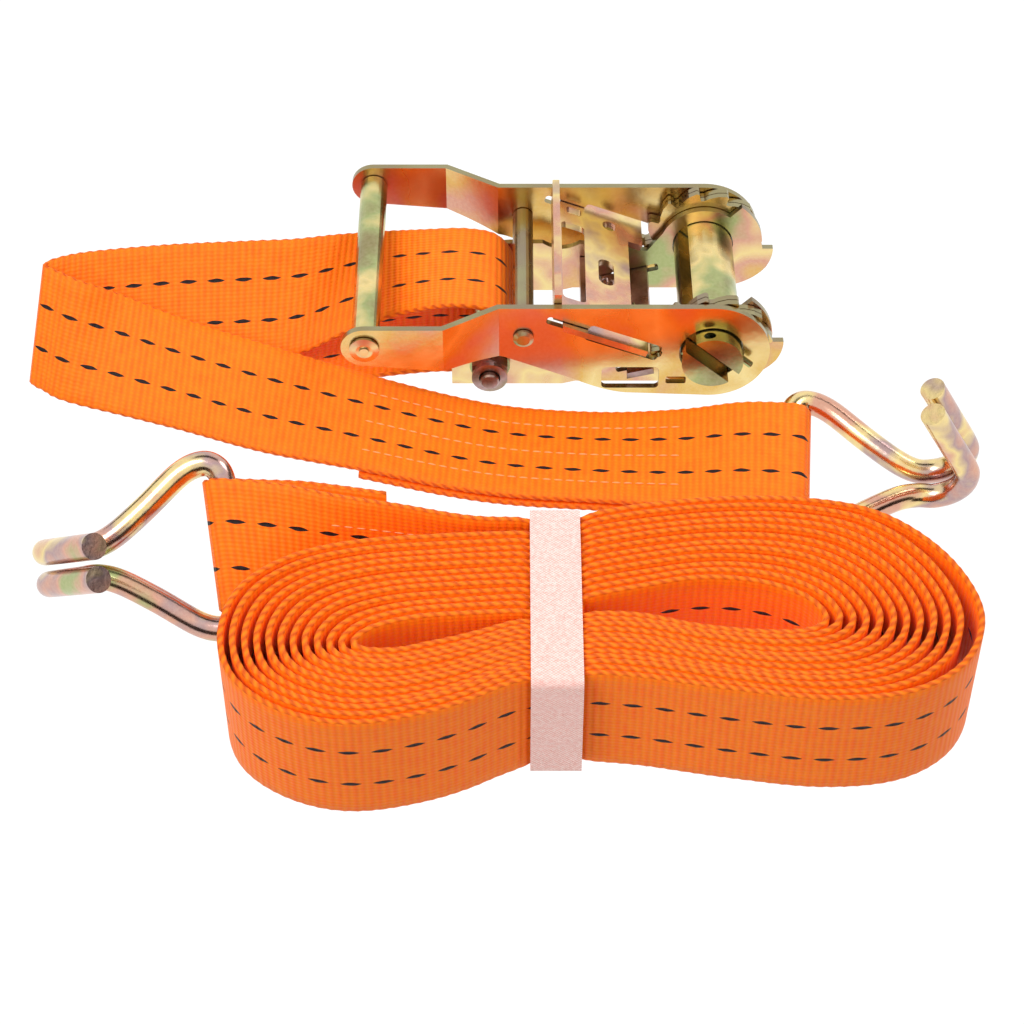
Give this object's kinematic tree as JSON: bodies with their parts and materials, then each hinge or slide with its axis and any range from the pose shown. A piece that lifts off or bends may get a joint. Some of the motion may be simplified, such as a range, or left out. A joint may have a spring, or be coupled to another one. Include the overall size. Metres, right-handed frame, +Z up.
{
  "type": "ratchet tie-down",
  "caption": "Ratchet tie-down: a buckle with lever handle, split drum and pawls on a short webbing strap with a double hook, beside a long coiled strap with its own hook.",
  "frame": {"origin": "under the middle of the whole set, on the surface it lies on", "axes": "+X along the set from the grip end towards the drum end, +Y from the coil towards the buckle, +Z up"},
  "size_m": [0.2928, 0.2372, 0.054],
  "materials": {
    "plate_gold": "yellow zinc chromate, iridescent",
    "plate_pink": "yellow zinc chromate, iridescent",
    "pin_green": "yellow zinc chromate, satin",
    "pin_dark": "zinc chromate over a dark cut face",
    "hook_wire": "yellow zinc chromate, iridescent",
    "orange_webbing": "woven polyester, two black tracer threads, white stitching",
    "pink_elastic": "knitted elastic"
  },
  "bodies": {
    "frame": {"frame_plate_far": "plate_pink", "frame_plate_near": "plate_pink", "anchor_sleeve": "pin_green", "anchor_washer_near": "pin_green", "anchor_washer_far": "pin_green", "anchor_bolt": "pin_dark", "anchor_nut": "pin_dark", "pawl_spring": "pin_dark", "fixed_strap": "orange_webbing"},
    "handle": {"handle_plate_far": "plate_gold", "handle_plate_near": "plate_gold", "grip_tube": "pin_green", "grip_rivet": "pin_dark", "cross_pin": "plate_pink", "latch_spring": "pin_dark"},
    "handle_latch": {"handle_latch": "plate_pink"},
    "drum": {"drum_half_upper": "pin_green", "drum_half_lower": "pin_dark", "split_pin_near": "pin_green", "split_pin_far": "pin_green", "wheel_far_inner": "plate_gold", "wheel_far_outer": "plate_gold", "wheel_near_inner": "plate_gold", "wheel_near_outer": "plate_gold"},
    "lock_pawl": {"lock_pawl": "pin_dark"},
    "hook_fixed": {"hook_fixed": "hook_wire"},
    "long_strap": {"long_strap_coil": "orange_webbing", "long_strap_tail": "orange_webbing", "tie_band": "pink_elastic"},
    "hook_long": {"hook_long": "hook_wire"}
  },
  "joints": [
    {"name": "handle_hinge", "type": "hinge", "parent": "frame", "child": "handle", "pos_m": [0.06879, 0.07623, 0.01957], "axis": [0, 1, 0], "range_deg": [0, 170]},
    {"name": "drum_spin", "type": "hinge", "parent": "frame", "child": "drum", "pos_m": [0.06879, 0.07623, 0.01957], "axis": [0, 1, 0], "continuous": true},
    {"name": "latch_pull", "type": "slide", "parent": "handle", "child": "handle_latch", "axis": [-0.9272, 0, 0.3746], "range_m": [0, 0.0028], "stiffness_N_per_m": 400, "springref_m": -0.004},
    {"name": "pawl_retract", "type": "slide", "parent": "frame", "child": "lock_pawl", "axis": [-0.9659, 0, -0.2588], "range_m": [0, 0.0026], "stiffness_N_per_m": 400, "springref_m": -0.004},
    {"name": "hook_fixed_swing", "type": "hinge", "parent": "frame", "child": "hook_fixed", "pos_m": [0.09079, 0.00542, 0.01057], "axis": [-0.08, -0.9765, -0.2001], "range_deg": [0, 60]},
    {"name": "long_strap_lift", "type": "slide", "parent": "frame", "child": "long_strap", "axis": [0, 0, 1], "range_m": [0, 0.15]},
    {"name": "hook_long_swing", "type": "hinge", "parent": "long_strap", "child": "hook_long", "pos_m": [-0.07371, -0.03687, 0.02077], "axis": [-0.13, 0.7051, 0.6971], "range_deg": [0, 45]}
  ]
}
